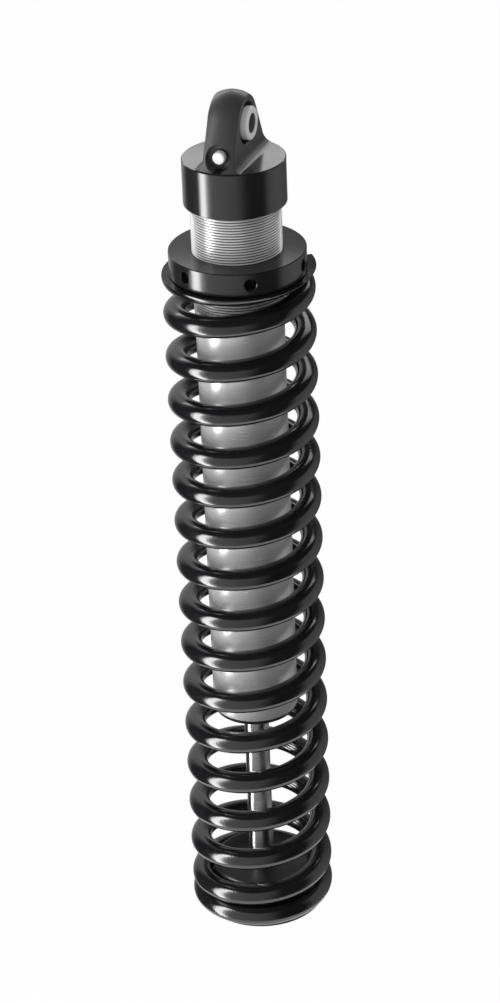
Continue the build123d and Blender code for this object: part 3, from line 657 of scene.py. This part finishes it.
# a ring round the shock: how bright it is at each side, in degrees to the camera's right
tent = {
    "radius": 0.5,
    "top": 0.50,
    "gap": 0.005,            # between the ring and the floor
    "segments": 96,
    "strip": 8.0,            # the brightest level, which the ramps hold every level as a share of
    "low": [(-180, 0.5), (-150, 0.5), (-138, 0.3), (-126, 0.03), (-84, 0.02), (-77, 8.0), (-68, 8.0),
            (-62, 1.8), (-53, 0.52), (0, 0.34), (24, 0.04), (34, 0.02), (64, 0.02), (80, 0.36),
            (106, 0.36), (148, 0.10), (180, 0.5)],
    "high": [(-180, 0.2), (-150, 0.6), (-135, 0.6), (-110, 0.03), (130, 0.03), (170, 0.06),
             (180, 0.2)],
    "fadeFrom": -0.04,       # heights between which the low levels give way to the high ones
    "fadeTo": 0.08,
}
# a card is this bright at its left and right, seen from outside, along its lower or front edge,
# and fades to nothing at the opposite edge
backCard = {"side": 180, "distance": 0.30, "height": 0.230, "width": 0.70, "tall": 0.30,
            "left": 1.5, "right": 2.8}
overheadCard = {"height": 0.51, "width": 1.1, "tall": 1.1, "left": 0.02, "right": 0.02}


# level direction from the shock, so many degrees to the camera's right
def sideways(side):
    angle = math.radians(shot["turn"] + side)
    return Vector((math.sin(angle), -math.cos(angle), 0))


def facingAxis(side, distance, height):
    outward = sideways(side)
    turned = outward.to_track_quat("Z", "Y").to_matrix().to_4x4()
    return Matrix.Translation(outward * distance + Vector((0, 0, height))) @ turned


def makeLamp():
    data = bpy.data.lights.new("softLamp", "AREA")
    data.shape = "RECTANGLE"
    data.size = lamp["width"]
    data.size_y = lamp["tall"]
    data.energy = lamp["watts"]
    made = bpy.data.objects.new("softLamp", data)
    made.matrix_world = facingAxis(lamp["side"], lamp["distance"], lamp["height"])
    made.visible_camera = False
    made.visible_glossy = False
    bpy.context.scene.collection.objects.link(made)


# a thing of the studio, which isn't part of the shock
def studioPiece(name, bm, place, material):
    mesh = bpy.data.meshes.new(name)
    bm.to_mesh(mesh)
    bm.free()
    mesh.materials.append(material)
    made = bpy.data.objects.new(name, mesh)
    made.matrix_world = place
    bpy.context.scene.collection.objects.link(made)
    return made


# one unit square, which the matrix stretches to its width and height
def flatPlate(name, width, tall, place, material):
    bm = bmesh.new()
    bmesh.ops.create_grid(bm, x_segments=1, y_segments=1, size=0.5,
                          matrix=Matrix.Diagonal((width, tall, 1, 1)))
    plate = studioPiece(name, bm, place, material)
    return plate


# ring and cards are unseen and throw no shadow: they only shape what metal and paint mirror
def cardMaterial(name):
    material, tree, shader = newMaterial(name)
    shader.inputs["Base Color"].default_value = (0, 0, 0, 1)
    shader.inputs["Specular IOR Level"].default_value = 0
    shader.inputs["Emission Color"].default_value = (1, 1, 1, 1)
    coords = addNode(tree, "ShaderNodeTexCoord").outputs["Object"]
    parts = addNode(tree, "ShaderNodeSeparateXYZ", {0: coords}).outputs
    return material, tree, shader.inputs["Emission Strength"], parts


def hideCard(card):
    card.visible_camera = False
    card.visible_diffuse = False
    card.visible_transmission = False
    card.visible_shadow = False


def makeCard(name, card, place):
    width = card["width"]
    tall = card["tall"]
    material, tree, strength, parts = cardMaterial(name)
    across = spread(tree, parts["X"], card["left"], card["right"], -width / 2, width / 2)
    faded = spread(tree, parts["Y"], 1, 0, -tall / 2, tall / 2)
    tree.links.new(calc(tree, "MULTIPLY", across, faded), strength)
    hideCard(flatPlate(name, width, tall, place, material))


# brightness by share of the way round, from behind the shock at 0, past the camera, to behind at 1
def sideLevels(tree, share, levels):
    made = addNode(tree, "ShaderNodeValToRGB", {0: share})
    points = made.color_ramp.elements
    while len(points) < len(levels):
        points.new(0.5)      # anywhere, since every point is placed below
    for point, (side, level) in zip(points, levels):
        point.position = side / 360 + 0.5
        point.color = (*[level / tent["strip"]] * 3, 1)
    return calc(tree, "MULTIPLY", made.outputs["Color"], tent["strip"])


def makeTent():
    material, tree, strength, parts = cardMaterial("tent")
    side = calc(tree, "ARCTAN2", parts["X"], calc(tree, "MULTIPLY", parts["Y"], -1.0))
    share = calc(tree, "ADD", calc(tree, "DIVIDE", side, oneTurn), 0.5)
    low = sideLevels(tree, share, tent["low"])
    high = sideLevels(tree, share, tent["high"])
    raised = spread(tree, parts["Z"], 0, 1, tent["fadeFrom"], tent["fadeTo"])
    mixed = addNode(tree, "ShaderNodeMix", {0: raised, 2: low, 3: high})
    tree.links.new(mixed.outputs[0], strength)
    base = cadLow.z - studio["floorDrop"] + tent["gap"]
    bm = bmesh.new()
    bmesh.ops.create_cone(bm, cap_ends=False, segments=tent["segments"], radius1=tent["radius"],
                          radius2=tent["radius"], depth=tent["top"] - base)
    bmesh.ops.translate(bm, verts=bm.verts, vec=(0, 0, (tent["top"] + base) / 2))
    ring = studioPiece("tent", bm, turnAbout("Z", shot["turn"]), material)
    hideCard(ring)


# 1 for what the camera sees straight, mirrored or through something clear, 0 for light on things
def seenShare(tree):
    path = addNode(tree, "ShaderNodeLightPath").outputs
    return calc(tree, "MAXIMUM", path["Is Camera Ray"],
                calc(tree, "MAXIMUM", path["Is Glossy Ray"], path["Is Transmission Ray"]))


def makeRoom():
    world = bpy.data.worlds.new("room")
    bpy.context.scene.world = world
    world.use_nodes = True
    tree = world.node_tree
    strength = addNode(tree, "ShaderNodeMapRange",
                       {"Value": seenShare(tree), "To Min": studio["roomLight"], "To Max": 1.0}).outputs[0]
    back = tree.nodes["Background"]
    back.inputs["Color"].default_value = (1, 1, 1, 1)
    tree.links.new(strength, back.inputs["Strength"])


# nearly plain white to the camera, and clear from below
def floorMaterial():
    material, tree, shader = newMaterial("paleFloor")
    shader.inputs["Base Color"].default_value = (*[studio["floorColour"]] * 3, 1)
    shader.inputs["Roughness"].default_value = studio["floorRoughness"]
    glow = addNode(tree, "ShaderNodeEmission", {"Color": (1, 1, 1, 1), "Strength": 1.0})
    share = calc(tree, "MULTIPLY", seenShare(tree), studio["floorGlow"])
    lit = addNode(tree, "ShaderNodeMixShader", {0: share, 1: shader.outputs[0], 2: glow.outputs[0]})
    clear = addNode(tree, "ShaderNodeBsdfTransparent")
    under = addNode(tree, "ShaderNodeNewGeometry").outputs["Backfacing"]
    both = addNode(tree, "ShaderNodeMixShader", {0: under, 1: lit.outputs[0], 2: clear.outputs[0]})
    tree.links.new(both.outputs[0], tree.nodes["Material Output"].inputs["Surface"])
    return material


def makeStudio():
    makeRoom()
    floor = Matrix.Translation((0, 0, cadLow.z - studio["floorDrop"]))
    flatPlate("floor", studio["floorSize"], studio["floorSize"], floor, floorMaterial())
    behind = facingAxis(backCard["side"], backCard["distance"], backCard["height"])
    makeCard("backCard", backCard, behind)
    makeCard("overheadCard", overheadCard, Matrix.Translation((0, 0, overheadCard["height"])))
    makeTent()
    makeLamp()


makeStudio()
print("studio made")
